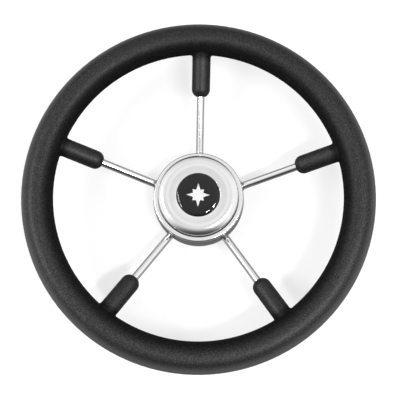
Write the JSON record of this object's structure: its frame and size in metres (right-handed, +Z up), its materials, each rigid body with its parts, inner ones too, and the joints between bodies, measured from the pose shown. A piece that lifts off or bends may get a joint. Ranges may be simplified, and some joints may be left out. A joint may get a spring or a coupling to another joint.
{
  "type": "boat steering wheel",
  "caption": "Dished boat steering wheel: black moulded grip with spoke sleeves, polished rod spokes, and a capped round hub with a tapered, keyed shaft bore.",
  "frame": {"origin": "centre of the shaft taper's wide end, on the back face of the hub boss", "axes": "+Y along the helm shaft, away from the person steering; +Z up, along spoke_1; +X to the right as seen by the person steering"},
  "size_m": [0.35, 0.0763, 0.35],
  "materials": {
    "grip": "matte, fine moulded grain",
    "inner_steel": "plain rolled bar",
    "polished_steel": "mirror polished",
    "turned_steel": "turned",
    "plate_steel": "satin",
    "polished_cap": "mirror polished",
    "seal_rubber": "smooth",
    "badge_print": "gloss print",
    "clear_resin": "clear, gloss"
  },
  "bodies": {
    "root": {"grip": "grip", "rim_ring": "inner_steel", "spoke_1": "polished_steel", "spoke_2": "polished_steel", "spoke_3": "polished_steel", "spoke_4": "polished_steel", "spoke_5": "polished_steel", "hub_boss": "turned_steel", "hub_shell": "polished_steel", "hub_back_plate": "plate_steel", "cap": "polished_cap", "cap_seal": "seal_rubber", "badge": "badge_print", "badge_lens": "clear_resin"}
  },
  "joints": []
}
